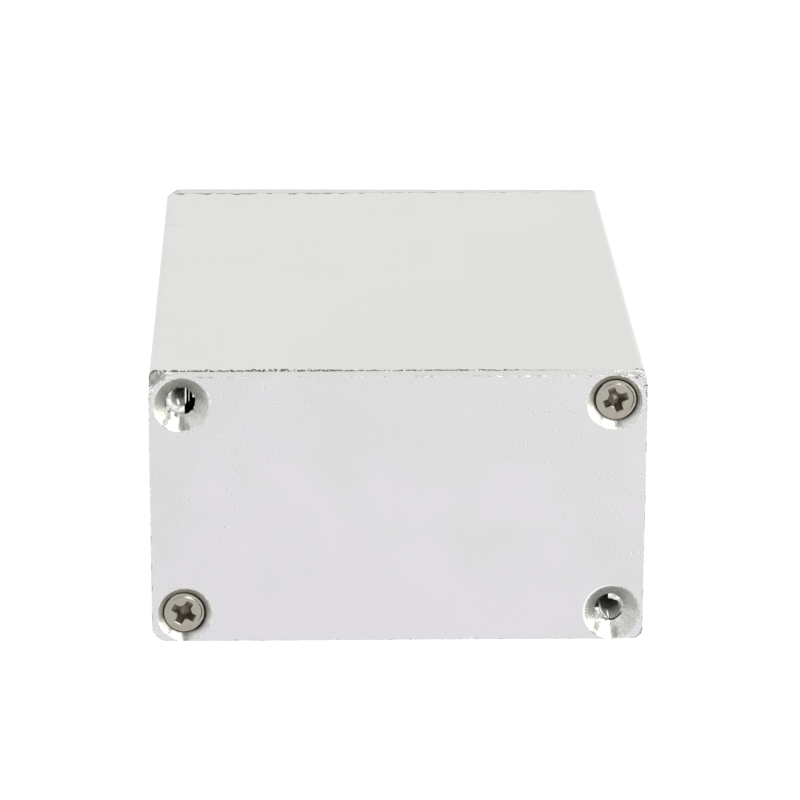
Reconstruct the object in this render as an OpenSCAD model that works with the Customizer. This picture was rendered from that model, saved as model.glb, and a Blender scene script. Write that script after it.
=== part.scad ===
// Aluminium enclosure: an extruded case with a screwed flat panel at each end.
// Millimetres, +Z up, front panel towards -Y, origin in the middle of the base.

/* [Case] */
// Width of the case, side to side
case_w = 66; // [50:0.5:120]
// Height of the case
case_h = 37; // [32:0.5:60]
// Length of the extrusion between the two panels
case_l = 95; // [40:1:200]
// Thickness of the extrusion's walls
wall = 1.6; // [1.2:0.1:2.4]
// Radius of the four long outer edges
edge_r = 1.0; // [0.4:0.1:1.5]
// Radius that the die leaves in the inner corners
fillet_r = 0.3; // [0.1:0.05:0.5]

/* [Screw channels] */
// Distance from the side face to a screw's axis
screw_inset_x = 4.4; // [4:0.1:6]
// Distance from the top or bottom face to a screw's axis
screw_inset_z = 3.8; // [3.8:0.1:6]
// Metal around the channel's bore
channel_wall = 1.25; // [0.9:0.05:1.6]
// How far the channel's two lips reach past its axis, round its open quarter
channel_lip = 0.1; // [0:0.05:0.5]
// Room around the screw's core in the channel
core_clearance = 0.05; // [0.02:0.01:0.1]

/* [Board guides] */
// Number of board slots on each side wall
slot_count = 3; // [1:1:4]
// Height from one board slot to the next
slot_pitch = 7.5; // [5.5:0.1:8]
// Thickness of the circuit board that a slot takes
board_t = 1.6; // [0.8:0.1:2]
// Room above and below the board together
board_clearance = 0.2; // [0.1:0.05:0.4]
// Thickness of a guide rib
rib_t = 1.2; // [0.8:0.1:1.6]
// How far a guide rib stands out of the side wall
rib_depth = 3.0; // [1.5:0.1:4]

/* [End panels] */
// Thickness of an end panel
panel_t = 2.5; // [2.4:0.1:4]
// Radius of a panel's corners
panel_corner_r = 1.5; // [0.5:0.1:3]
// Room around the screw's thread in the panel's hole
hole_clearance = 0.4; // [0.1:0.05:0.5]
// Depth of the screw head's widest edge below the panel's face
head_sink = 1.0; // [0.2:0.1:1.1]

/* [Screws] */
// Outside diameter of the screw's thread
thread_d = 3.0; // [2.8:0.1:3.2]
// Core diameter of the screw under its thread
core_d = 2.6; // [2.4:0.1:2.8]
// Diameter of the countersunk head
head_d = 5.4; // [4.6:0.1:5.6]
// Height of the straight rim around the head
head_rim = 0.2; // [0.1:0.05:0.3]
// Length of the screw, head included
screw_l = 8; // [6:1:16]
// Chamfer at the screw's tip
tip_chamfer = 0.3; // [0.1:0.05:0.6]
// Tip-to-tip width of the cross recess
recess_span = 3.2; // [2.4:0.1:3.6]
// Width of an arm of the cross recess
recess_arm_w = 0.85; // [0.6:0.05:1]
// Depth of the cross recess
recess_depth = 1.5; // [1:0.1:1.8]
// Diameter of the recess's round middle at the head's face
recess_middle_d = 1.3; // [0.9:0.05:1.6]
// Diameter at the bottom of the cross recess
recess_floor_d = 0.8; // [0.4:0.05:1]
// Gap between the head's cone and its countersink
seat_gap = 0.03; // [0.01:0.01:0.1]

/* [Hidden] */

$fn = 64;
overrun = 1;
silver = [0.87, 0.87, 0.865];
panel_silver = [0.87, 0.865, 0.875];
nickel = [0.66, 0.64, 0.59];

screw_x = case_w / 2 - screw_inset_x;
screw_z_low = screw_inset_z;
screw_z_high = case_h - screw_inset_z;

channel_r = core_d / 2 + core_clearance;
boss_r = channel_r + channel_wall;
slot_w = board_t + board_clearance;

hole_r = thread_d / 2 + hole_clearance;
sink_r = head_d / 2 + head_sink;

// Side of each screw (-1 left, 1 right), its height and the turn of its cross recess,
// as they are seen when one faces that panel
FRONT_SCREWS = [[1, screw_z_high, 20], [-1, screw_z_low, 60]];
REAR_SCREWS = [
    [-1, screw_z_high, 35],
    [1, screw_z_high, 72],
    [-1, screw_z_low, 8],
    [1, screw_z_low, 50]
];

// A rectangle on the base line with rounded corners
module rounded_plate(w, h, r) {
    translate([-w / 2, r]) square([w, h - 2 * r]);
    translate([r - w / 2, 0]) square([w - 2 * r, h]);
    for (x = [r - w / 2, w / 2 - r], z = [r, h - r])
        translate([x, z]) circle(r);
}

// Rounds a square inner corner at the origin whose free sides lie along +X and +Y
module inner_fillet() {
    difference() {
        translate([-fillet_r, -fillet_r]) square(2 * fillet_r);
        translate([fillet_r, fillet_r]) circle(fillet_r);
    }
}

// The metal round the channel of the upper right corner: one arm along the top wall and one along
// the side wall, which leave the quarter that faces down and inwards open
module channel_boss() {
    to_side = screw_inset_x - wall;
    to_top = screw_inset_z - wall;
    translate([(screw_inset_x - boss_r) / 2, -channel_lip])
        rounded_plate(boss_r + screw_inset_x, channel_lip + screw_inset_z, fillet_r);
    translate([(screw_inset_x - channel_lip) / 2, -boss_r])
        rounded_plate(channel_lip + screw_inset_x, boss_r + screw_inset_z, fillet_r);
    translate([to_side, -boss_r]) rotate(180) inner_fillet();
    translate([-boss_r, to_top]) rotate(180) inner_fillet();
}

// Puts a child that is drawn for the upper right corner on all four screw axes
module at_corners() {
    for (left = [0, 1], low = [0, 1])
        translate([left ? -screw_x : screw_x, low ? screw_z_low : screw_z_high])
            mirror([left, 0]) mirror([0, low]) children();
}

// A guide rib with a round nose, on a side wall's inner face at x = 0
module guide_rib() {
    length = rib_depth - rib_t / 2;
    translate([-wall / 2, -rib_t / 2]) square([wall / 2 + length, rib_t]);
    translate([length, 0]) circle(rib_t / 2);
    for (low = [0, 1])
        mirror([0, low]) translate([0, rib_t / 2]) inner_fillet();
}

// The ribs of one side wall, a pair for each board slot
module guide_ribs() {
    rib_offset = (slot_w + rib_t) / 2;
    for (i = [0 : slot_count - 1], edge = [-1, 1]) {
        slot_z = case_h / 2 + (i - (slot_count - 1) / 2) * slot_pitch;
        translate([wall - case_w / 2, slot_z + edge * rib_offset]) guide_rib();
    }
}

// The hollow between the walls, the corner bosses and the guide ribs
module case_hollow() {
    difference() {
        translate([wall - case_w / 2, wall])
            square([case_w - 2 * wall, case_h - 2 * wall]);
        at_corners() channel_boss();
        guide_ribs();
        mirror([1, 0]) guide_ribs();
    }
}

// Cross-section of the case
module case_profile() {
    difference() {
        rounded_plate(case_w, case_h, edge_r);
        case_hollow();
        at_corners() circle(channel_r);
    }
}

// Sets a child that faces +Z, with its back at z = 0, on the front end of the case
module on_front() {
    translate([0, -case_l / 2, 0]) rotate([90, 0, 0]) children();
}

// The same on the rear end
module on_rear() {
    rotate([0, 0, 180]) on_front() children();
}

// A flat plate with a countersunk hole over each screw channel
module end_panel() {
    difference() {
        linear_extrude(panel_t) rounded_plate(case_w, case_h, panel_corner_r);
        at_corners() {
            translate([0, 0, -overrun]) cylinder(h = panel_t + 2 * overrun, r = hole_r);
            translate([0, 0, panel_t - sink_r + hole_r])
                cylinder(h = sink_r - hole_r + overrun, r1 = hole_r, r2 = sink_r + overrun);
        }
    }
}

// The four arms and tapered middle of a cross recess, cut down from z = 0
module cross_recess() {
    intersection() {
        translate([0, 0, -recess_depth])
            cylinder(h = recess_depth + overrun, d1 = recess_floor_d,
                     d2 = recess_span + (recess_span - recess_floor_d) * overrun / recess_depth);
        for (turn = [0, 90])
            rotate(turn)
                translate([0, 0, -recess_depth / 2])
                    cube([2 * recess_span, recess_arm_w, recess_depth + 2 * overrun], center = true);
    }
    translate([0, 0, -recess_depth])
        cylinder(h = recess_depth + overrun, d1 = recess_floor_d, d2 = recess_middle_d);
}

// A countersunk screw along -Z, with the top of its head at z = 0
module countersunk_screw() {
    head_r = head_d / 2;
    core_r = core_d / 2;
    head_h = head_rim + head_r - core_r;
    difference() {
        rotate_extrude()
            polygon([
                [0, 0],
                [head_r, 0],
                [head_r, -head_rim],
                [core_r, -head_h],
                [core_r, tip_chamfer - screw_l],
                [core_r - tip_chamfer, -screw_l],
                [0, -screw_l]
            ]);
        cross_recess();
    }
}

// Screws seated in an end panel's countersinks
module seated_screws(places) {
    head_top = panel_t - head_sink + head_rim + seat_gap;
    for (place = places)
        translate([place[0] * screw_x, place[1], head_top])
            rotate(place[2])
                countersunk_screw();
}

module case_extrusion() {
    color(silver)
        rotate([90, 0, 0])
            linear_extrude(case_l, center = true)
                case_profile();
}

module front_panel() {
    color(panel_silver) on_front() end_panel();
}

module rear_panel() {
    color(panel_silver) on_rear() end_panel();
}

module front_screws() {
    color(nickel) on_front() seated_screws(FRONT_SCREWS);
}

module rear_screws() {
    color(nickel) on_rear() seated_screws(REAR_SCREWS);
}

case_extrusion();
front_panel();
rear_panel();
front_screws();
rear_screws();
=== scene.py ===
import math

import bmesh
import bpy
import numpy as np
from mathutils import Matrix, Vector


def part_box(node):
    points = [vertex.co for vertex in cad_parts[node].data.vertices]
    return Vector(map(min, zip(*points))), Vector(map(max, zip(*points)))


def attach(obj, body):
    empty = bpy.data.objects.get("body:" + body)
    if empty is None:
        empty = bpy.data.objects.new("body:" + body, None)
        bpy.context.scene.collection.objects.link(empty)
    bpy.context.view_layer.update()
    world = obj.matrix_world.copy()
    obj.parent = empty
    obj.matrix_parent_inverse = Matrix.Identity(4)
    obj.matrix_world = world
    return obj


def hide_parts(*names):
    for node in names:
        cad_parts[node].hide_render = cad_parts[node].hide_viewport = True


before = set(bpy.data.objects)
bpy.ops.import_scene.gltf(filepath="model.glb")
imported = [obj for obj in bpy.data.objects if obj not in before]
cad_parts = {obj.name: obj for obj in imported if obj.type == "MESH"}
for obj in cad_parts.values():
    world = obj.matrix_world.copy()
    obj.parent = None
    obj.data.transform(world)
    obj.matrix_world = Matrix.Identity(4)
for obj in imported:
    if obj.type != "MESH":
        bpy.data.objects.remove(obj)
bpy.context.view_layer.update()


# Case: one length of aluminium extrusion with a screw channel in each corner and ribs for circuit
# boards on its side walls. It is pressed through a die, sawn to length and anodised a matt silver.
# The saw leaves ragged ends, which show as a broken dark line where a panel meets the case,
# darkened further by painted shade of the gap in the sawn edge's material.

MM = 0.001

case_low, case_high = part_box("case_extrusion")
half_w = case_high.x
half_l = case_high.y
half_h = (case_high.z - case_low.z) / 2
mid_z = (case_high.z + case_low.z) / 2

wall = 1.6 * MM
edge_r = 1.0 * MM
fillet_r = 0.3 * MM

# Axes of the upper right screw and channel, x + iz from the case's middle. The channels lie a
# little farther out than the screws, and the whole hollow a little off the middle.
screw_at = complex(half_w - 4.4 * MM, half_h - 3.8 * MM)
channel_at = screw_at + (0.06 + 0.415j) * MM
hollow_shift = (0.06 + 0.035j) * MM
bore_r = 1.35 * MM
boss_r = 2.6 * MM
top_lip = 0.15 * MM
side_lip = 0.3 * MM

rib_heights = [9.0 * MM, 6.0 * MM, 1.5 * MM]
rib_t = 1.2 * MM
rib_depth = 3.0 * MM

thread_pitch = 0.5 * MM
thread_depth = 0.15 * MM
thread_reach = 4.0 * MM
thread_step = thread_pitch / 8
mouth = 0.18 * MM

FITTED_FRONT = [(1, 1), (-1, -1)]
FITTED_REAR = [(1, 1), (1, -1), (-1, 1), (-1, -1)]


def arc(centre, radius, start, end, count):
    """Points x + iz on a circle about centre, from one angle in degrees to another."""
    return centre + radius * np.exp(1j * np.radians(np.linspace(start, end, count)))


def stretch(start, end, count):
    """Points x + iz spaced evenly from start up to, but without, end."""
    return np.linspace(start, end, count, endpoint=False)


def all_round(quarter):
    """Closed outline from its upper right quarter, which runs from the top's middle to the right
    side's middle: the quarter and its mirror image downwards, then both turned half round."""
    right = np.concatenate([quarter[:-1], quarter.conj()[::-1][:-1]])
    return np.concatenate([right, -right])


def outward_of(outline):
    """Unit normals of a closed outline that runs clockwise: its tangent turned a quarter left."""
    tangent = np.roll(outline, -1) - np.roll(outline, 1)
    return 1j * tangent / abs(tangent)


def grain(place, size, seed):
    """Smooth random field of unit spread at x, y, z places: a sum of plane waves of about one
    wavelength, with random directions and phases."""
    waves = 48
    rng = np.random.default_rng(seed)
    direction = rng.normal(size=(waves, 3))
    direction /= np.linalg.norm(direction, axis=1, keepdims=True)
    turns = direction * rng.uniform(0.5, 1.5, (waves, 1)) / size
    phase = rng.uniform(0, 2 * np.pi, waves)
    return np.cos(2 * np.pi * place @ turns.T + phase).sum(-1) * math.sqrt(2 / waves)


def spot(flat, y):
    """x, y, z places of points x + iz that are measured from half the case's height."""
    flat, y = np.broadcast_arrays(flat, y)
    return np.stack([flat.real, y, flat.imag + mid_z], axis=-1)


def ease(value, low, high):
    """Smooth step from 0 at low to 1 at high."""
    share = np.clip((value - low) / (high - low), 0, 1)
    return share * share * (3 - 2 * share)


def shell(name, patches, materials, body="root"):
    """A new piece from patches of points[row, column, xyz], each spanned by quads. A patch is
    (points, whether its last column joins its first, material number)."""
    corners, quads, finishes = [], [], []
    first = 0
    for points, closed, finish in patches:
        rows, columns = points.shape[:2]
        number = first + np.arange(rows * columns).reshape(rows, columns)
        number = np.hstack([number, number[:, :1]]) if closed else number
        quad = np.stack([number[:-1, :-1], number[1:, :-1], number[1:, 1:], number[:-1, 1:]], -1)
        corners.append(points.reshape(-1, 3))
        quads.append(quad.reshape(-1, 4))
        finishes.append(np.full(quad.shape[0] * quad.shape[1], finish, dtype=np.int32))
        first += rows * columns
    mesh = bpy.data.meshes.new(name)
    mesh.from_pydata(np.concatenate(corners), [], np.concatenate(quads))
    mesh.polygons.foreach_set("material_index", np.concatenate(finishes))
    for material in materials:
        mesh.materials.append(material)
    made = bpy.data.objects.new(name, mesh)
    bpy.context.scene.collection.objects.link(made)
    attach(made, body)
    return made


def close_up(piece, sharp=35, end_finish=0):
    """Merges the points that a piece's patches share, fills its open ends, turns its faces outwards
    and smooths them, but for edges sharper than an angle in degrees."""
    merge_within = 1e-7
    work = bmesh.new()
    work.from_mesh(piece.data)
    bmesh.ops.remove_doubles(work, verts=work.verts, dist=merge_within)
    open_edges = [edge for edge in work.edges if edge.is_boundary]
    for side in (-1, 1):
        end = [edge for edge in open_edges if edge.verts[0].co.y * side > 0]
        if end:
            made = bmesh.ops.triangle_fill(work, use_beauty=True, edges=end)["geom"]
            for face in made:
                if isinstance(face, bmesh.types.BMFace):
                    face.material_index = end_finish
    bmesh.ops.recalc_face_normals(work, faces=work.faces)
    for face in work.faces:
        face.smooth = True
    work.to_mesh(piece.data)
    work.free()
    piece.data.set_sharp_from_angle(angle=math.radians(sharp))


def rib_outline(height):
    """Outline of a board rib on the right wall, downwards: root fillet, flat, round nose, flat and
    root fillet."""
    inner = half_w - wall
    root = inner - fillet_r
    nose = complex(inner - rib_depth + rib_t / 2, height)
    return np.concatenate([
        arc(complex(root, height + rib_t / 2 + fillet_r), fillet_r, 0, -90, 4),
        arc(nose, rib_t / 2, 90, 270, 9),
        arc(complex(root, height - rib_t / 2 - fillet_r), fillet_r, 90, 0, 4),
    ])


inner_top = half_h - wall
inner_side = half_w - wall
boss_left = channel_at.real - boss_r
boss_low = channel_at.imag - boss_r
lip_left = channel_at.real - side_lip
lip_low = channel_at.imag - top_lip
top_turn = math.degrees(math.asin(top_lip / bore_r))
side_turn = math.degrees(math.asin(side_lip / bore_r))

before_bore = np.concatenate([
    stretch(complex(0, inner_top), complex(boss_left - fillet_r, inner_top), 3),
    arc(complex(boss_left - fillet_r, inner_top - fillet_r), fillet_r, 90, 0, 4),
    arc(complex(boss_left + fillet_r, lip_low + fillet_r), fillet_r, 180, 270, 5),
])
bore = arc(channel_at, bore_r, 180 + top_turn, -90 - side_turn, 40)
after_bore = np.concatenate([
    arc(complex(lip_left + fillet_r, boss_low + fillet_r), fillet_r, 180, 270, 5),
    arc(complex(inner_side - fillet_r, boss_low - fillet_r), fillet_r, 90, 0, 4),
    np.concatenate([rib_outline(height) for height in rib_heights]),
    [complex(inner_side, 0)],
])
inner_outline = all_round(np.concatenate([before_bore, bore, after_bore])) + hollow_shift
thread_way = all_round(np.concatenate([
    0 * before_bore,
    (bore - channel_at) / bore_r,
    0 * after_bore,
]))

outer_outline = all_round(np.concatenate([
    stretch(complex(0, half_h), complex(half_w - edge_r, half_h), 215),
    arc(complex(half_w - edge_r, half_h - edge_r), edge_r, 90, 0, 12),
    stretch(complex(half_w, half_h - edge_r), complex(half_w, 0), 115)[1:],
    [complex(half_w, 0)],
]))
outer_way = outward_of(outer_outline)


def threaded(reach, side):
    """Rows of the inner outline from an end inwards. Each bore is cut by a right-hand thread with
    45 degree flanks: its depth is a clipped triangle wave of distance over pitch plus the angle
    seen from that end. The mouth's chamfer is torn."""
    groove_half = 0.35
    flank_width = 0.3
    reach = reach[:, None]
    end = spot(inner_outline, side * half_l)
    torn = mouth * np.clip(1 + 0.7 * grain(end, 0.7 * MM, 16), 0.1, 2)
    turn = np.angle(-side * thread_way.real + 1j * thread_way.imag) / (2 * np.pi)
    phase = (reach / thread_pitch + turn) % 1
    groove = np.clip((groove_half - abs(phase - 0.5)) / flank_width, 0, 1)
    fade = 1 - ease(reach, 0.8 * thread_reach, thread_reach)
    depth = np.maximum(thread_depth * groove * fade, torn - reach)
    return spot(inner_outline + thread_way * depth, side * (half_l - reach))


def sawn(side, slack, gap, spread):
    """Rows of the outer outline from an end inwards. The end is a ragged step below the surface, as
    wide as a gap in millimetres where there is slack between case and panel. Its upper edge
    carries a thin broken burr, and wear spreads from there."""
    end = spot(outer_outline, side * half_l)
    waves = 0.3 * grain(end, 5 * MM, 11) + 0.35 * grain(end, 0.9 * MM, 12)
    teeth = 0.4 * grain(end, 0.4 * MM, 17)
    ragged = gap * (1 + waves + teeth)
    slack = np.maximum(slack, 0.5 * np.clip(grain(end, 2.2 * MM, 15) - 0.8, 0, 1))
    width = np.clip(ragged * slack, 0.004, 0.95) * MM
    depth = np.clip(0.20 + 0.05 * grain(end, 1.2 * MM, 13), 0.06, 0.3) * (0.15 + 0.85 * slack) * MM
    burr = np.clip(grain(end, 0.6 * MM, 14), 0, 1.5) / 1.5
    skin = 0.025 * MM
    zone = 2.2 * MM
    rows = [
        (0 * width, depth),
        (0.8 * width, 0.9 * depth),
        (width, skin + 0.1 * depth),
        (width + (0.02 + 0.08 * slack * spread) * MM, skin * (1 - burr)),
        (width + (0.05 + 0.19 * slack * spread) * MM, skin + 0 * depth),
        (zone + 0 * width, skin + 0 * depth),
    ]
    return np.stack([
        spot(outer_outline - outer_way * inset, side * (half_l - reach)) for reach, inset in rows
    ])


class Wire:
    """An output socket in a tree of shader nodes. Operators on wires add Math nodes to the tree."""

    def __init__(self, tree, socket):
        self.tree = tree
        self.socket = socket

    def node(self, kind, settings, inputs, output=0):
        """Adds a node of a kind: its settings first, then the values or wires of its inputs."""
        made = self.tree.nodes.new(kind)
        for name, value in settings.items():
            setattr(made, name, value)
        for name, value in inputs.items():
            if isinstance(value, Wire):
                self.tree.links.new(value.socket, made.inputs[name])
            else:
                made.inputs[name].default_value = value
        return Wire(self.tree, made.outputs[output])

    def math(self, operation, first, second=0.0):
        return self.node("ShaderNodeMath", {"operation": operation}, {0: first, 1: second})

    def __add__(self, other):
        return self.math("ADD", self, other)

    def __radd__(self, other):
        return self.math("ADD", other, self)

    def __sub__(self, other):
        return self.math("SUBTRACT", self, other)

    def __rsub__(self, other):
        return self.math("SUBTRACT", other, self)

    def __mul__(self, other):
        return self.math("MULTIPLY", self, other)

    def __rmul__(self, other):
        return self.math("MULTIPLY", other, self)

    def __truediv__(self, other):
        return self.math("DIVIDE", self, other)

    def __pow__(self, other):
        return self.math("POWER", self, other)

    def __abs__(self):
        return self.math("ABSOLUTE", self)

    def step(self, low, high):
        """Smooth step from 0 at low to 1 at high."""
        limits = {"Value": self, "From Min": low, "From Max": high}
        return self.node("ShaderNodeMapRange", {"interpolation_type": "SMOOTHSTEP"}, limits)

    def tint(self, first, second):
        """Colour between first, where this mask is 0, and second, where it is 1."""
        return self.node("ShaderNodeMix", {"data_type": "RGBA"}, {0: self, 6: first, 7: second}, 2)

    def part(self, axis):
        """One of the three numbers of a place."""
        return self.node("ShaderNodeSeparateXYZ", {}, {0: self}, "XYZ".index(axis))

    def mottle(self, size, detail=2.0, along=(1, 1, 1)):
        """Cloudy noise of about a size in metres at this place, drawn out along its axes."""
        scale = [1 / (size * length) for length in along]
        spread = self.node("ShaderNodeVectorMath", {"operation": "MULTIPLY"}, {0: self, 1: scale})
        inputs = {"Vector": spread, "Scale": 1.0, "Detail": detail}
        return self.node("ShaderNodeTexNoise", {}, inputs)

    def bump(self, distance):
        """Normal of a surface that this height, times the distance in metres, raises."""
        inputs = {"Height": self, "Distance": distance, "Strength": 1.0}
        return self.node("ShaderNodeBump", {}, inputs)


def surface(name, metallic=1.0):
    """A new material: itself, its shader, and the wire of its Object coordinates."""
    material = bpy.data.materials.new(name)
    material.use_nodes = True
    tree = material.node_tree
    shader = tree.nodes["Principled BSDF"]
    shader.inputs["Metallic"].default_value = metallic
    place = Wire(tree, tree.nodes.new("ShaderNodeTexCoord").outputs["Object"])
    return material, shader, place


def feed(shader, wires):
    """Links wires to the shader's inputs of those names."""
    for name, wire in wires.items():
        wire.tree.links.new(wire.socket, shader.inputs[name])


def from_channel(place):
    """Distance of a place from the nearest channel's axis."""
    x = abs(place.part("X") - hollow_shift.real) - channel_at.real
    z = abs(place.part("Z") - mid_z - hollow_shift.imag) - channel_at.imag
    return (x * x + z * z) ** 0.5


def case_silver():
    """Matt anodised extrusion: fine grain and faint die lines along its length, a little darker
    towards the front right, with a faint mark at the left of its top. The bores are cut to bright
    metal, darker at the mouth. In the right-hand channels painted shade darkens the bores farther
    in, and painted glints stand for light on their thread crests near the mouth."""
    mark_at = (-31.2 + 28.4j) * MM
    mark_half = (1.4 + 0.35j) * MM
    thread_r = bore_r + thread_depth
    material, shader, place = surface("case_silver")
    fine = place.mottle(0.12 * MM)
    lines = place.mottle(0.35 * MM, 3.0, (1, 90, 1))
    broad = place.mottle(14 * MM, 2.0)
    side = (place.part("X") - 0.5 * place.part("Y")).step(-5 * MM, 40 * MM)
    tone = 0.5 * fine + 0.9 * lines + 0.8 * broad - 0.65 - 0.9 * side
    silver = tone.tint((0.712, 0.713, 0.698, 1), (0.745, 0.743, 0.731, 1))
    mark_x = (place.part("X") - mark_at.real) / mark_half.real
    mark_y = (place.part("Y") - mark_at.imag) / mark_half.imag
    mark = 1 - (mark_x * mark_x + mark_y * mark_y + 1.2 * lines).step(0.5, 1.6)
    on_top = (place.part("Z") - case_high.z).step(-0.5 * MM, -0.1 * MM)
    plain = (0.8 * mark * on_top).tint(silver, (0.60, 0.60, 0.585, 1))
    cut = 1 - from_channel(place).step(thread_r + 0.06 * MM, thread_r + 0.12 * MM)
    inside = (half_l - abs(place.part("Y"))).step(0.2 * MM, 2.5 * MM)
    rightwards = place.part("X").step(-1 * MM, 1 * MM)
    # in the right-hand channels the bore is darker farther in: painted shade
    farther_in_shaded = rightwards.tint((0.95, 0.95, 0.92, 1), (0.72, 0.72, 0.69, 1))
    worn = inside.tint((0.42, 0.42, 0.40, 1), farther_in_shaded)
    # painted glints: white flecks that stand for light on the thread crests near the mouth
    painted_glints = place.mottle(0.17 * MM, 1.0, (1, 3, 1)).step(0.55, 0.62) * rightwards
    bore_with_painted_glints = (painted_glints * (1 - inside)).tint(worn, (1, 1, 0.98, 1))
    feed(shader, {
        "Base Color": cut.tint(plain, bore_with_painted_glints),
        "Metallic": 1 - 0.85 * cut,
        "Roughness": 0.44 + 0.08 * lines - 0.08 * cut,
        "Normal": (fine + 0.6 * lines).bump(0.004 * MM),
    })
    return material


def ragged_metal(name, plain, dark, share, bare=0.55):
    """Torn or rubbed edge: bright bare flecks, fewer as their level rises, and dark soiling with
    painted shade, which takes up a share of its length."""
    material, shader, place = surface(name)
    fleck = place.mottle(0.20 * MM, 1.0, (1, 5, 1)).step(bare, bare + 0.07)
    # dark share: soiling, and painted shade of the gap at the case's ends and of the shade under
    # the box
    grime_and_shade = place.mottle(1.6 * MM, 3.0).step(0.62 - 0.35 * share, 0.70 - 0.35 * share)
    dull = grime_and_shade.tint(plain, dark)
    feed(shader, {
        "Base Color": fleck.tint(dull, (0.95, 0.95, 0.94, 1)),
        "Roughness": 0.40 - 0.15 * fleck,
        "Normal": place.mottle(0.25 * MM).bump(0.05 * MM),
    })
    return material


def sawn_face():
    """Sawn end of the extrusion: saw lines across it, bright about the channels and stained
    elsewhere."""
    material, shader, place = surface("sawn_face")
    lines = place.mottle(0.12 * MM, 2.0, (30, 1, 1))
    stain = place.mottle(0.6 * MM, 2.0).step(0.35, 0.6)
    dull = stain.tint((0.34, 0.34, 0.325, 1), (0.50, 0.50, 0.48, 1))
    bright = stain.tint((0.62, 0.62, 0.605, 1), (0.96, 0.96, 0.94, 1))
    feed(shader, {
        "Base Color": from_channel(place).step(2.2 * MM, 2.7 * MM).tint(bright, dull),
        "Roughness": 0.36 + 0.15 * lines,
        "Normal": lines.bump(0.012 * MM),
    })
    return material


thread_steps = np.concatenate([
    np.linspace(0, mouth, 4)[:-1],
    np.arange(mouth, thread_reach, thread_step),
])
long_steps = np.linspace(thread_reach, 2 * half_l - thread_reach, 9)[1:-1]
inner_rows = np.concatenate([
    threaded(np.append(thread_steps, thread_reach), -1),
    spot(inner_outline, (long_steps - half_l)[:, None]),
    threaded(np.append(thread_steps, thread_reach), 1)[::-1],
])

# Slack between case and panel. In front it grows with the distance from the two screws, and is less
# on the right and on the sides. Behind it grows leftwards, in patches.
fitted_at = [complex(x * screw_at.real, z * screw_at.imag) for x, z in FITTED_FRONT]
away = abs(outer_outline[:, None] - np.array(fitted_at)).min(1)
outer_x = outer_outline.real
on_side = ease(abs(outer_x), half_w - 0.4 * MM, half_w)
tighter = ease(outer_x, -15 * MM, -3 * MM)
front_slack = ease(away, 4 * MM, 20 * MM) * (1 - 0.48 * tighter) * (1 - 0.6 * on_side)
front_end = sawn(-1, front_slack, 0.56, 1.3)
leftwards = ease(-outer_x, -12 * MM, 14 * MM)
off_edge = ease(half_w + outer_x, 0.9 * MM, 1.6 * MM)
patchy = np.clip(0.5 + 0.6 * grain(spot(outer_outline, half_l), 2.2 * MM, 18), 0.1, 1)
rear_end = sawn(1, leftwards * off_edge * patchy, 0.2, 4.0)

# Numbers of the case's materials
ANODISED, SAWN_EDGE, SAWN_FACE = range(3)

case = shell(
    "case",
    [
        (inner_rows, True, ANODISED),
        (front_end[:-1], True, SAWN_EDGE),
        (np.concatenate([front_end[-2:], rear_end[:-3:-1]]), True, ANODISED),
        (rear_end[:-1], True, SAWN_EDGE),
    ],
    [
        case_silver(),
        # sawn edge: its dark share is painted shade of the gap between case and panel, with some
        # soiling
        ragged_metal("sawn_edge_gap_shade", (0.68, 0.68, 0.67, 1), (0.18, 0.175, 0.16, 1), 0.85, 0.60),
        sawn_face(),
    ],
)
close_up(case, end_finish=SAWN_FACE)
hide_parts("case_extrusion")


def sliver(corner, root, tip, bow, depth, half_width):
    """Rows of a thin burr in the mouth of one corner's channel, from a root to a tip that are
    measured x + iz from the channel's axis: flat ellipses along a bowed line, which shrink to a
    point at both ends."""
    along = np.linspace(0, 1, 18)[:, None]
    turn = np.linspace(0, 2 * np.pi, 10, endpoint=False)
    width = half_width * np.sin(np.pi * along) ** 0.4
    axis = complex(corner[0] * channel_at.real, corner[1] * channel_at.imag) + hollow_shift
    middle = axis + (root + (tip - root) * along + bow * np.sin(np.pi * along)) * MM
    aside = 1j * (tip - root) / abs(tip - root)
    sag = depth + 0.2 * np.sin(np.pi * along)
    flat = middle + aside * width * np.cos(turn) * MM
    return spot(flat, (sag + 0.25 * width * np.sin(turn)) * MM - half_l)


# Each burr's corner, root, tip and bow, then its depth behind the case's end and half its width, in
# millimetres: two slivers, a flake and a lip in the upper left channel, then a flake and two lips
# in the lower right one
FRONT_BURRS = [
    ((-1, 1), 0.50 + 1.3j, 0.44 - 1.2j, 0, 0.25, 0.11),
    ((-1, 1), 0.94 + 0.95j, 0.88 - 0.9j, 0, 0.45, 0.05),
    ((-1, 1), -0.50 - 1.30j, -0.60 - 0.36j, 0, 0.05, 0.19),
    ((-1, 1), 1.20 + 0.95j, 1.50 + 0.02j, 0.08 + 0.03j, -0.15, 0.07),
    ((1, -1), -0.22 - 1.28j, -0.52 - 0.20j, 0, 0.05, 0.11),
    ((1, -1), -1.46 + 0.62j, -0.33 - 1.40j, -0.27 - 0.14j, -0.1, 0.07),
    ((1, -1), -0.14 + 1.57j, 1.43 + 0.66j, 0.14 + 0.25j, -0.22, 0.06),
]
burrs = shell("case_burrs", [(sliver(*burr), True, 0) for burr in FRONT_BURRS], [
    ragged_metal("bare_burr", (0.88, 0.88, 0.86, 1), (0.45, 0.45, 0.43, 1), 0.2),
])
close_up(burrs)
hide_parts("case_extrusion")


# End panels: two flat aluminium plates, each held by countersunk screws in its corners. They are
# cut from sheet, blasted and anodised, then countersunk to bare metal. Corners are broken by hand,
# and the thin edges have small nicks and burrs.

panel_low, panel_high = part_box("front_panel")
panel_t = panel_high.y - panel_low.y
hole_r = 1.9 * MM
sink_r = 3.72 * MM
sink_depth = 1.8 * MM
SKIN = 0.03 * MM

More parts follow.
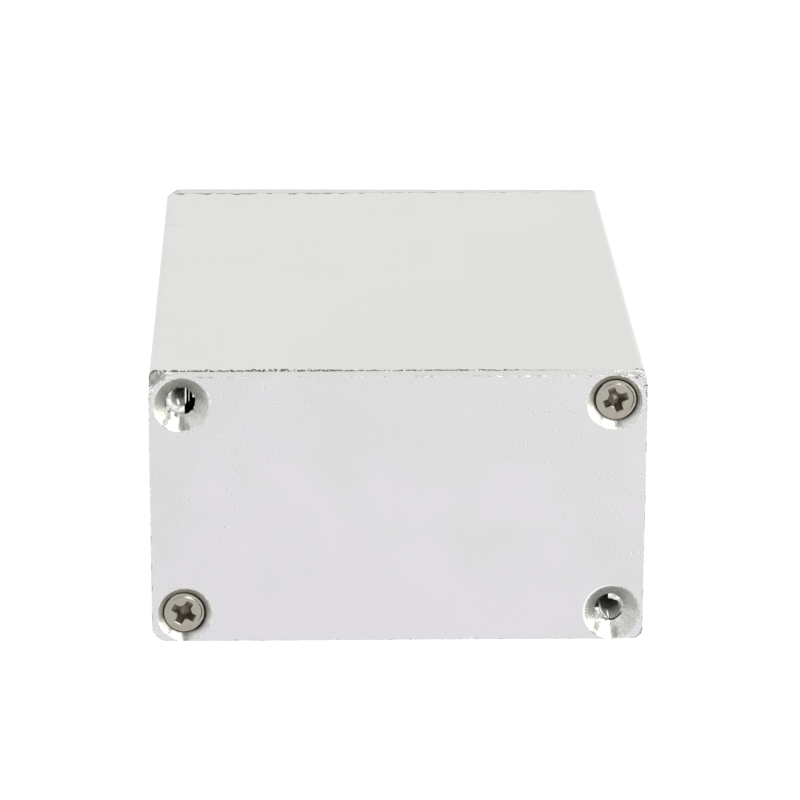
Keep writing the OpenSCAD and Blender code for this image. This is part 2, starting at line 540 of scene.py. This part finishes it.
top_steps = 240
corner_steps = 26
side_steps = 130
corner_middle = top_steps + (corner_steps - 1) // 2

# Numbers of the panels' materials
FACE, OPEN_SINK, RUBBED, FILLED_SINK, BRIGHT, SCORED_AND_SHADED, EDGE = range(7)

# Each corner by its side and height as one faces the panel: its cut in millimetres, its roundness,
# from 1 for a straight chamfer to 2 for a round, how far to the right and up its countersink and
# its hole are drilled off the screw's axis, in millimetres, how much burr is left along its edges,
# how torn its hole is, how far about the corner its front edge has another finish, in millimetres,
# and that finish
FRONT_CORNERS = {
    (-1, 1): (2.2, 1.03, -0.02 - 0.09j, -0.14 - 0.05j, 0.9, 0.07, 2.4, BRIGHT),
    (1, 1): (1.0, 1.8, 0.06 + 0.02j, 0.36 + 0.25j, 1.4, 0.05, 4.6, BRIGHT),
    (-1, -1): (1.8, 1.6, 0.02 - 0.03j, -0.12 - 0.04j, 0.2, 0.05, 0.5, RUBBED),
    # the lower right's dark edge finish is in part a painted reflection of the shade under the box
    (1, -1): (1.25, 1.8, 0.14 + 0.02j, -0.04 + 0.08j, 0.3, 0.04, 1.1, SCORED_AND_SHADED),
}
REAR_CORNERS = {
    (-1, 1): (0.7, 1.8, 0.05 - 0.04j, 0, 0.4, 0.05, 0.4, RUBBED),
    (1, 1): (1.8, 1.6, -0.04 - 0.02j, 0, 0.4, 0.05, 1.5, BRIGHT),
    (-1, -1): (1.3, 1.6, 0.02 + 0.05j, 0, 0.3, 0.05, 1.0, SCORED_AND_SHADED),
    (1, -1): (1.6, 1.8, -0.03 + 0.03j, 0, 0.3, 0.05, 0.5, RUBBED),
}


def panel_edge(cut, roundness, inset=0.0):
    """Outer edge of a panel's upper right quarter, from the top's middle to the side's middle, or
    the same edge set in by a distance. Its corner is a quarter of a superellipse."""
    turn = np.radians(np.linspace(90, 0, corner_steps))
    top = half_h - inset
    right = half_w - inset
    corner = complex(right - cut, top - cut)
    round_off = np.cos(turn) ** (2 / roundness) + 1j * np.sin(turn) ** (2 / roundness)
    return np.concatenate([
        stretch(complex(0, top), corner + 1j * cut, top_steps),
        corner + cut * round_off,
        stretch(corner + cut, complex(right, 0), side_steps)[1:],
        [complex(right, 0)],
    ])


def out_of_true(flat, narrow, drop):
    """Points x + iz of a plate that isn't square: its sides lean in by narrow towards its foot, and
    its top falls by drop towards +X."""
    foot = 0.5 - flat.imag / (2 * half_h)
    along = 0.5 + flat.real / (2 * half_w)
    return flat - flat.real / half_w * narrow * foot - 1j * drop * along * (1 - foot)


def panel_quarter(side, across, up, corner, seed, fitted, narrow, drop):
    """Patches of one corner of a panel. Rows run from the plate's edge over its face to the
    countersink, down its 45 degree cone, through the hole and back over the rear face. Each column
    aims at the countersink's axis, but for a straight strip along the edge. The last patches are
    the plate's thin edge with its front and rear bevels."""
    cut, roundness, sink_off, hole_off, burr, torn, about, finish = corner
    sink_at = screw_at + complex(across * sink_off.real, up * sink_off.imag) * MM
    hole_at = screw_at + complex(across * hole_off.real, up * hole_off.imag) * MM

    def put(flat, depth):
        """Places of upper right points at a depth below the face, in this corner of the panel."""
        flat, depth = np.broadcast_arrays(flat, depth)
        turned = -side * across * flat.real + 1j * up * flat.imag
        return spot(out_of_true(turned, narrow, drop), side * (half_l + panel_t - depth))

    strip = 0.6 * MM
    edge = panel_edge(cut * MM, roundness)
    way = (edge - panel_edge(cut * MM, roundness, strip)) / strip
    place = put(edge, 0)
    margin = np.clip(0.45 * (abs(edge - sink_at) - sink_r), 0.02 * MM, strip)
    from_corner = abs(edge - edge[corner_middle])
    near = burr * np.exp(-from_corner / (5 * MM))
    rounded = np.clip(0.3 + grain(place, 2.4 * MM, seed) + 1.5 * near, 0, 1)
    worn = rounded * (0.11 + 0.06 * near) * MM
    chip = np.clip(grain(place, 0.5 * MM, seed + 1) - 0.9, 0, 1) * (0.1 + 0.15 * near) * MM
    bevel = np.minimum(0.03 * MM + worn + chip, 0.8 * margin)
    if finish == BRIGHT:
        bevel = bevel * np.clip(0.45 + 0.35 * grain(place, 0.5 * MM, seed + 8), 0.15, 1)
    ridge = np.clip(grain(place, 0.7 * MM, seed + 4) - 0.9 + 1.6 * near, 0, 1)
    crest = SKIN * (1 - ridge)
    slack = ease(from_corner, 4 * MM, 20 * MM) if fitted else 1
    back = np.clip(0.02 + (0.12 + 0.06 * grain(place, 1.5 * MM, seed + 2)) * slack, 0.02, 0.3) * MM
    rubbed = np.clip(0.1 + near * (0.35 + 0.3 * grain(place, 0.8 * MM, seed + 6)), 0.1, 0.9)
    face_edge = edge - way * bevel
    face_rim = edge - way * margin
    rear_edge = edge - way * back
    rear_rim = edge - way * strip

    def loop(rim):
        """Closed boundary of the quarter: its outer edge, then the two middle lines."""
        return np.concatenate([rim, stretch(rim[-1], 0, 20)[1:], stretch(0, rim[0], 14)])

    inside = face_edge + (face_rim - face_edge) * rubbed
    rubbed_strip = np.stack([put(face_edge, crest), put(inside, SKIN)])
    face_strip = np.stack([put(inside, SKIN), put(face_rim, SKIN)])
    face_loop = loop(face_rim)
    aim = (face_loop - sink_at) / abs(face_loop - sink_at)
    lip = np.minimum(0.16 * MM, 0.6 * (abs(face_loop - sink_at) - sink_r))
    sink_edge = sink_at + (sink_r + lip) * aim
    inwards = sink_edge - face_loop
    seam = 1 - np.minimum(0.05 * MM / abs(inwards), 0.3)
    face = np.stack([put(face_loop + inwards * share, SKIN) for share in (0, seam, 1)])

    around = put(sink_edge, 0)
    upper_right = across * aim.real + up * aim.imag
    raised = 0.5 * grain(around, 0.9 * MM, seed + 5) + 0.9 * upper_right - 0.35
    tear = torn * MM * np.clip(grain(put(hole_at + hole_r * aim, 0), 0.5 * MM, seed + 3), -0.6, 1)
    cone = []
    for share in np.linspace(0.02, 1, 12):
        axis = sink_at + (hole_at - sink_at) * share
        radius = sink_r + (hole_r - sink_r) * share + tear * share ** 12
        cone.append(put(axis + radius * aim, SKIN + sink_depth * share))
    hole_edge = hole_at + (hole_r + tear) * aim
    hole_top = SKIN + sink_depth
    bare = np.stack([
        put(sink_edge, SKIN),
        put(sink_at + (sink_r + 0.45 * lip) * aim, SKIN * (1 - np.clip(raised, 0, 1))),
        *cone,
        put(hole_edge, hole_top + 0.3 * (panel_t - hole_top)),
        put(hole_edge, panel_t),
    ])
    rear = np.stack([put(hole_edge, panel_t), put(loop(rear_rim), panel_t)])
    rear_strip = np.stack([put(rear_rim, panel_t), put(rear_edge, panel_t)])

    turn = np.radians([0, 30, 60, 90])[:, None]
    shoulder = SKIN + bevel
    bevel_depth = crest + (shoulder - crest) * (1 - np.cos(turn))
    front_bevel = put(edge - way * bevel * (1 - np.sin(turn)), bevel_depth)
    share = np.linspace(0.05, 0.95, 8)[:, None]
    depth = shoulder + (panel_t - back - shoulder) * share
    knocked = np.clip(grain(put(edge, depth), 0.5 * MM, seed + 7), 0, 1.5)
    dent = knocked * near * np.sin(np.pi * share)
    thin_edge = put(edge - way * dent * 0.08 * MM, depth)
    rear_bevel = put(edge - way * back * (1 - np.cos(turn)), panel_t - back * (1 - np.sin(turn)))
    rim = np.concatenate([front_bevel[-1:], thin_edge, rear_bevel])
    half_way = len(rim) // 2
    first, last = np.flatnonzero(from_corner < about * MM)[[0, -1]]
    return [
        (face, True, FACE),
        (face_strip, False, FACE),
        (rubbed_strip[:, :first + 1], False, RUBBED),
        (rubbed_strip[:, first:last + 1], False, SCORED_AND_SHADED if finish == BRIGHT else RUBBED),
        (rubbed_strip[:, last:], False, RUBBED),
        (bare, True, FILLED_SINK if fitted else OPEN_SINK),
        (rear, True, FACE),
        (rear_strip, False, FACE),
        (front_bevel[:, :first + 1], False, RUBBED),
        (front_bevel[:, first:last + 1], False, finish),
        (front_bevel[:, last:], False, RUBBED),
        (rim[:, :first + 1], False, EDGE),
        (rim[:half_way + 1, first:last + 1], False, RUBBED),
        (rim[half_way:, first:last + 1], False, BRIGHT if finish == BRIGHT else RUBBED),
        (rim[:, last:], False, EDGE),
    ]


def panel_silver(name, pale, bright):
    """Blasted and anodised sheet: a silver faintly mottled between two tones, a little darker
    towards its top and its right as painted shade, with fine grain. Small uneven pits lie in loose
    clusters, denser towards the sides and the top, and bright flecks lie beside them."""
    material, shader, place = surface(name)
    fine = place.mottle(0.10 * MM)
    broad = place.mottle(11 * MM, 2.0)
    higher = (place.part("Z") - mid_z) / half_h
    farther = place.part("X").step(20 * MM, 31 * MM)
    # darker towards the top and the right: painted shade
    tone = (broad - 0.22 * higher - 0.18 * farther).step(0.3, 0.7)
    plain = tone.tint(pale, bright)
    crowd = (abs(place.part("X")) / half_w + 0.35 * higher).step(0.4, 0.75)
    cluster = (place.mottle(2.5 * MM, 2.0) + 0.13 * crowd).step(0.50, 0.68)

    def specks(shift):
        """Peaks of a fine noise, moved by a shift, where the clusters lie."""
        moved = place.node("ShaderNodeVectorMath", {"operation": "ADD"}, {0: place, 1: shift})
        peaks = (moved.mottle(0.25 * MM, 1.0) + 0.02 * crowd).step(0.67, 0.76)
        return peaks * (0.2 + 0.8 * cluster)

    pit = specks((0, 0, 0))
    fleck = specks((0.12 * MM, 0, 0.11 * MM))
    flecked = (0.6 * fleck).tint(plain, (0.95, 0.94, 0.95, 1))
    feed(shader, {
        "Base Color": (0.7 * pit).tint(flecked, (0.30, 0.29, 0.30, 1)),
        "Roughness": 0.46 + 0.06 * fine,
        "Normal": (0.5 * fine - pit).bump(0.009 * MM),
    })
    return material


def bare_turning(name, grime_and_shade, scuffs_and_painted_light, shade):
    """Countersink in bare aluminium: dull bright metal with fine turned rings and chatter marks and
    painted shade at its upper right. An amount of dark soiling and painted shade lies down where a
    screw's head sits, less at its bottom. An amount of scuffing gives streaks, which are scuffs and
    a painted dark reflection, and painted shade in the hole, and on the right of the box also
    speckles, more painted shade on its right and a cleaner left part, brightened with painted
    light."""
    material, shader, place = surface(name)
    height = place.part("Z") - mid_z
    x = abs(place.part("X")) - screw_at.real
    z = abs(height) - screw_at.imag
    over = z * place.math("SIGN", height)
    right = x * place.math("SIGN", place.part("X"))
    radius = (x * x + z * z) ** 0.5
    rings = place.math("SINE", radius * (2 * math.pi / (0.07 * MM)))
    turned = place.node("ShaderNodeCombineXYZ", {}, {
        0: place.math("ARCTAN2", z, x) * 4,
        1: radius / (0.8 * MM),
        2: place.part("X") / (9 * MM),
    })
    chatter = turned.mottle(1.0, 2.0).step(0.35, 0.75)
    uneven = place.mottle(0.6 * MM, 2.0)
    patchy = place.mottle(1.3 * MM, 1.0).step(0.45, 0.62)
    rough = place.mottle(0.16 * MM, 2.0)
    below = half_l + panel_t - abs(place.part("Y"))
    lip = (1 - below.step(0.05 * MM, 0.35 * MM)) * rough.step(0.52, 0.60)
    # painted shade over the cone's upper right, and more on the right of the lower right
    # countersink
    shaded = (0.8 * over + 0.6 * right).step(0.8 * MM, 2.8 * MM)
    wide = scuffs_and_painted_light * place.part("X").step(-1 * MM, 1 * MM)
    # on the right of the box the cone's left part has fewer speckles and is brighter: painted light
    clean_and_lit = wide * (1 - (right - 0.2 * over).step(-0.5 * MM, 2.4 * MM))
    tone = uneven.tint((0.575, 0.575, 0.550, 1), (0.66, 0.658, 0.630, 1))
    cleaned_and_lit = clean_and_lit.tint(tone, (0.89, 0.89, 0.865, 1))
    with_painted_shade = (shaded * (0.12 + 0.5 * wide * right.step(0.3 * MM, 2 * MM))).tint(cleaned_and_lit, shade)
    flecked = (0.7 * lip).tint(with_painted_shade, (0.95, 0.95, 0.94, 1))

    def streak(angle, thin, thick):
        """A ragged streak down the cone at an angle in degrees, of one width on the left of the box
        and another on the right."""
        way = (math.cos(math.radians(angle)), math.sin(math.radians(angle)))
        aside = abs(way[1] * right - way[0] * over + (1.6 * uneven + 0.7 * rough - 1.15) * MM)
        half = (thin + (thick - thin) * wide) * MM
        outwards = (way[0] * right + way[1] * over + (rough - 0.5) * MM).step(2.2 * MM, 2.8 * MM)
        return (1 - aside.step(0.5 * half, 1.3 * half)) * outwards

    # dark streaks: scuffs, and a painted reflection of dark things in front of the box
    scuff_and_dark_reflection = scuffs_and_painted_light * place.math("MAXIMUM", streak(231, 0.2, 0.40), streak(281, 0.1, 0.5))
    speckle = place.mottle(0.15 * MM, 1.0).step(0.42, 0.60)
    spotted = ((0.12 + 0.34 * (wide - clean_and_lit)) * speckle).tint(flecked, (0.30, 0.30, 0.295, 1))
    streaked = (scuff_and_dark_reflection * (0.35 + 0.9 * rough)).tint(spotted, (0.26, 0.26, 0.25, 1))
    # painted shade at the foot of the cone and in the hole
    with_painted_hole_shade = (scuffs_and_painted_light * below.step(1.78 * MM, 1.9 * MM) * 0.5).tint(streaked, (0.16, 0.14, 0.115, 1))
    # dark soiling and painted shade of the gap where the screw's head sits, less at the bottom
    kept = 1 - 0.3 * (over + 0.4 * right).step(-1.4 * MM, -2.6 * MM)
    sunk = 0.5 * below.step(0.3 * MM, 0.8 * MM) + 0.5 * below.step(0.66 * MM, 0.9 * MM)
    head_soiling_and_shade = grime_and_shade * kept * sunk
    relief = 0.2 * rings + 0.6 * uneven + 1.6 * chatter + (0.4 + 2.6 * patchy) * rough
    feed(shader, {
        "Base Color": head_soiling_and_shade.tint(with_painted_hole_shade, (0.03, 0.025, 0.017, 1)),
        "Roughness": 0.12 + 0.10 * uneven + 0.2 * scuff_and_dark_reflection,
        "Normal": relief.bump(0.006 * MM),
    })
    return material


panel_materials = [
    panel_silver("panel_silver", (0.624, 0.615, 0.626, 1), (0.652, 0.636, 0.664, 1)),
    bare_turning("open_countersink", 0.0, 1.0, (0.41, 0.41, 0.40, 1)),
    ragged_metal("rubbed_edge", (0.62, 0.62, 0.61, 1), (0.38, 0.38, 0.36, 1), 0.2, 0.58),
    bare_turning("filled_countersink", 0.95, 0.0, (0.40, 0.40, 0.43, 1)),
    ragged_metal("bright_edge", (0.86, 0.86, 0.85, 1), (0.48, 0.48, 0.47, 1), 0.35),
    # dark edge: scoring, and at the front's lower right a painted reflection of the shade under the
    # box
    ragged_metal("scored_and_shaded_edge", (0.40, 0.40, 0.38, 1), (0.22, 0.22, 0.21, 1), 0.3),
    panel_silver("panel_edge", (0.686, 0.684, 0.673, 1), (0.703, 0.701, 0.693, 1)),
]
for name, node, side, corners, fitted, seed, narrow, drop in (
    ("front_plate", "front_panel", -1, FRONT_CORNERS, FITTED_FRONT, 100, 0.1 * MM, 0),
    ("rear_plate", "rear_panel", 1, REAR_CORNERS, FITTED_REAR, 200, 0, 0.33 * MM),
):
    quarters = []
    for (across, up), corner in corners.items():
        filled = (across, up) in fitted
        quarters += panel_quarter(side, across, up, corner, seed, filled, narrow, drop)
    plate = shell(name, quarters, panel_materials)
    close_up(plate)
    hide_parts(node)


# Panel screws: M3 countersunk screws with a cross recess, headed and thread-rolled from steel and
# nickel-plated. They form their own thread in the case's channels. Two are left in front, and four
# behind.

screw_low, screw_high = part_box("front_screws")
head_top = -screw_low.y
screw_l = screw_high.y - screw_low.y
head_r = 2.7 * MM
head_rim = 0.2 * MM
core_r = 1.22 * MM
crest_r = 1.5 * MM
recess_depth = 1.5 * MM
recess_reach = 1.6 * MM
recess_half_w = 0.47 * MM
recess_middle_r = 0.95 * MM
recess_floor_r = 0.4 * MM
recess_point = 0.35 * MM
recess_edge = 0.12 * MM
face_r = 2.14 * MM
tip_r = 1.0 * MM
tip_l = 0.35 * MM
run_out_l = 0.8 * MM
round_steps = 192

# Radius and depth of the head's worn shoulder, in millimetres
SHOULDER = [
    (2.17, 0.006), (2.20, 0.022), (2.24, 0.055), (2.28, 0.09), (2.32, 0.124), (2.35, 0.145),
    (2.40, 0.162), (2.50, 0.172), (2.62, 0.18),
]

# Numbers of the screws' materials
CLEAN, GRIMY_AND_SHADED = range(2)

# Side and height of each screw as one faces its panel, the turn of its recess in degrees, and how
# far to the right and up it sits off its axis in the solids, in millimetres
FRONT_SCREWS = [(1, 1, 21.5, 0.20 + 0.11j), (-1, -1, 60, -0.06 - 0.04j)]
REAR_SCREWS = [(-1, 1, 35, -0.28j), (1, 1, 72, 0.01j), (-1, -1, 8, 0.04 - 0.03j), (1, -1, 50, 0)]


def cross_reach(turn, share):
    """Distance from the axis to the recess's wall at each angle, at a share of its depth: the soft
    maximum of two crossed bars and a round middle. The arms' ends slope in to the floor."""
    end = recess_reach + (recess_floor_r - recess_reach) * share
    half = recess_half_w * (1 - 0.2 * share)
    middle = recess_middle_r + (recess_floor_r - recess_middle_r) * share
    tiny = 1e-6
    soft = 14
    bars = []
    for quarter in (0, np.pi / 2):
        along = end / np.maximum(abs(np.cos(turn - quarter)), tiny)
        aside = half / np.maximum(abs(np.sin(turn - quarter)), tiny)
        bars.append(np.minimum(along, aside))
    return (bars[0] ** soft + bars[1] ** soft + middle ** soft) ** (1 / soft)


def screw_rows(recess_turn):
    """Radius and depth below the head's top at each angle: rows of the recess from its middle
    upwards, of the stepped head, and of the 45 degree cone with the right-hand thread down to the
    tip."""
    turn = np.linspace(0, 2 * np.pi, round_steps, endpoint=False)
    flat = np.ones_like(turn)
    cross = turn - np.radians(recess_turn)
    opening = cross_reach(cross, 0)
    recess = [(0 * flat, recess_depth + recess_point)]
    for share in np.linspace(1, 0.08, 11):
        recess.append((cross_reach(cross, share), recess_depth * share))
    recess += [(opening, recess_edge)]
    rolled = opening + recess_edge
    head = [recess[-1]]
    head += [(opening + recess_edge * share, recess_edge * (1 - share)) for share in (0.33, 0.67)]
    head += [(rolled + (face_r - rolled) * share, 0) for share in (0, 0.3, 0.7, 1)]
    worn = 0.3 + 0.7 * ease(np.cos(turn - 0.9), -0.3, 0.5)
    drift = 0.34 * ease(np.cos(turn - 0.4), 0.7, 1.0)
    for radius, depth in SHOULDER:
        drifted = radius * MM + (head_r - radius * MM) * drift
        head.append((drifted, depth * worn * MM))
    head += [(head_r * flat, head_rim)]
    neck = head_rim + head_r - core_r
    shank = [(head_r * flat, head_rim)]
    for share in (0.5, 1):
        radius = head_r - (head_r - core_r) * share
        shank.append((radius * flat, head_rim + (neck - head_rim) * share))
    thread_end = screw_l - tip_l
    for depth in np.arange(neck + 0.05 * MM, thread_end, thread_step):
        phase = (depth / thread_pitch + turn / (2 * np.pi)) % 1
        crest = np.clip(1.7 - 4 * abs(phase - 0.5), 0, 1)
        run_out = 1 - ease(depth, screw_l - run_out_l, thread_end)
        grow = ease(depth, neck, neck + thread_pitch) * run_out
        shank.append((core_r + (crest_r - core_r) * crest * grow, depth))
    shank += [(tip_r * flat, screw_l), (0 * flat, screw_l)]
    return turn, [(recess, GRIMY_AND_SHADED), (head, CLEAN), (shank, GRIMY_AND_SHADED)]


def screw_nickel(name, pale, bright, dirt_and_shade_level):
    """Dull nickel plate between two warm greys, with fine scratches and rubbed spots. An amount of
    dull brown soiling with painted shade covers it, most in the lower half and least in the middle
    of the recess."""
    material, shader, place = surface(name)
    fine = place.mottle(0.09 * MM)
    worn = place.mottle(0.7 * MM, 3.0)
    height = place.part("Z") - mid_z
    x = abs(place.part("X")) - screw_at.real
    z = abs(height) - screw_at.imag
    middle = 1 - ((x * x + z * z) ** 0.5).step(0.35 * MM, 0.8 * MM)
    above = z * place.math("SIGN", height)
    low = 1 - (above + (worn - 0.5) * MM).step(-0.15 * MM, 0.6 * MM)
    # soiling and painted shade: darker in the recess's lower half and lighter in its middle
    dirt_and_shade = dirt_and_shade_level * (0.8 + 0.2 * low) * (1 - 0.75 * middle)
    shader.inputs["Specular IOR Level"].default_value = 0.1
    feed(shader, {
        "Base Color": dirt_and_shade.tint(worn.tint(pale, bright), (0.026, 0.02, 0.011, 1)),
        "Metallic": 1 - dirt_and_shade,
        "Roughness": 0.16 + 0.16 * worn + 0.25 * dirt_and_shade,
        "Normal": (fine + 1.5 * worn).bump(0.006 * MM),
    })
    return material


nickel = [
    screw_nickel("screw_nickel", (0.322, 0.299, 0.257, 1), (0.429, 0.404, 0.357, 1), 0.0),
    # recess and shank: brown soiling with painted shade in the recess
    screw_nickel("grimy_shaded_nickel", (0.46, 0.41, 0.33, 1), (0.71, 0.64, 0.52, 1), 0.95),
]
for node, side, screws in (("front_screws", -1, FRONT_SCREWS), ("rear_screws", 1, REAR_SCREWS)):
    for count, (across, up, recess_turn, shift) in enumerate(screws):
        turn, stretches = screw_rows(recess_turn)
        axis = complex(across * screw_at.real, up * screw_at.imag) + shift * MM
        patches = []
        for rows, finish in stretches:
            points = []
            for radius, depth in rows:
                flat = axis + radius * np.exp(1j * turn)
                points.append(spot(-side * flat.real + 1j * flat.imag, side * (head_top - depth)))
            patches.append((np.stack(points), True, finish))
        screw = shell(f"{node}_{count + 1}", patches, nickel)
        close_up(screw, sharp=28)
        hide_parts(node)


# Stage: a wide white table that glows like a light table, so the enclosure casts hardly a shadow.
# It glows more beyond the picture's right, for the sides of the countersinks that reflect it.

table_r = 6.0
table_corners = 96
turn = np.linspace(0, 2 * np.pi, table_corners, endpoint=False)
ring = np.stack([np.cos(turn), np.sin(turn), 0 * turn], axis=-1)
table_mesh = bpy.data.meshes.new("table")
table_mesh.from_pydata(table_r * ring, [], [list(range(table_corners))])
table = bpy.data.objects.new("table", table_mesh)
bpy.context.scene.collection.objects.link(table)
table_white, glow, table_place = surface("table_white", 0.0)
glow.inputs["Base Color"].default_value = (0.2, 0.2, 0.2, 1)
glow.inputs["Roughness"].default_value = 0.9
glow.inputs["Emission Strength"].default_value = 0.84
rightwards = table_place.part("X").step(0.07, 0.25)
feed(glow, {"Emission Color": rightwards.tint((1, 1, 1, 1), (1.7, 1.69, 1.5, 1))})
table_mesh.materials.append(table_white)


# Light: a white surround that brightens upwards and is dark right overhead, with a large soft light
# on the right and one above it. Their reflections shape the countersinks, and those of two small
# lights nearer the camera shape the screw heads.

scene = bpy.context.scene
scene.view_settings.view_transform = "Standard"
world = bpy.data.worlds.new("surround")
world.use_nodes = True
scene.world = world
sky = world.node_tree
height = Wire(sky, sky.nodes.new("ShaderNodeTexCoord").outputs["Generated"]).part("Z")
pale = height.step(-0.1, 0.75).tint((0.93, 0.93, 0.93, 1), (1.10, 1.10, 1.10, 1))
shade = height.step(0.86, 0.95).tint(pale, (0.22, 0.22, 0.22, 1))
sky.links.new(shade.socket, sky.nodes["Background"].inputs["Color"])

# Each light's name, its place in metres, the axis that its width follows, its width and height, its
# radiance and its colour
SOFT_LIGHTS = [
    ("right_light", (0.80, -0.27, 0.25), (0, 1, 0), 0.71, 0.52, 1.5, (1.0, 0.99, 0.86)),
    ("upper_light", (0.41, -0.41, 0.84), (1, 0, 0), 0.62, 0.61, 2.2, (1.0, 1.0, 1.0)),
    ("upper_glint", (0.26, -0.70, 0.66), (1, 0, 0), 0.26, 0.20, 7.0, (1.0, 1.0, 1.0)),
    ("right_glint", (0.70, -0.68, 0.20), (1, 0, 0), 0.22, 0.30, 6.0, (1.0, 1.0, 1.0)),
]
for name, place, along, width, tall, radiance, colour in SOFT_LIGHTS:
    lamp = bpy.data.lights.new(name, "AREA")
    lamp.shape = "RECTANGLE"
    lamp.size = width
    lamp.size_y = tall
    lamp.energy = radiance * math.pi * width * tall
    lamp.color = colour
    light = bpy.data.objects.new(name, lamp)
    outwards = (Vector(place) - Vector((0, 0, mid_z))).normalized()
    upwards = outwards.cross(Vector(along)).normalized()
    turned = Matrix((upwards.cross(outwards), upwards, outwards)).transposed()
    light.matrix_world = Matrix.Translation(place) @ turned.to_4x4()
    scene.collection.objects.link(light)


# Camera: a long lens in front of the enclosure and a little above and left of it. Its place, turns
# and focal length were fitted to the edges that the photo shows.

camera_at = Vector((-14.53, -590.83, 200.63)) * MM
yaw, pitch, roll = (math.radians(angle) for angle in (1.560, 17.145, 0.179))
photo_width = 800
focal_pixels = 4290.5
ahead = Vector((math.sin(yaw) * math.cos(pitch), math.cos(yaw) * math.cos(pitch), -math.sin(pitch)))
level = Vector((math.cos(yaw), -math.sin(yaw), 0))
rise = level.cross(ahead)
right = level * math.cos(roll) + rise * math.sin(roll)
up = rise * math.cos(roll) - level * math.sin(roll)
lens = bpy.data.cameras.new("camera")
lens.sensor_width = 36
lens.lens = focal_pixels * lens.sensor_width / photo_width
lens.clip_start = 0.01
lens.clip_end = 50
camera = bpy.data.objects.new("camera", lens)
facing = Matrix((right, up, -ahead)).transposed()
camera.matrix_world = Matrix.Translation(camera_at) @ facing.to_4x4()
scene.collection.objects.link(camera)
scene.camera = camera
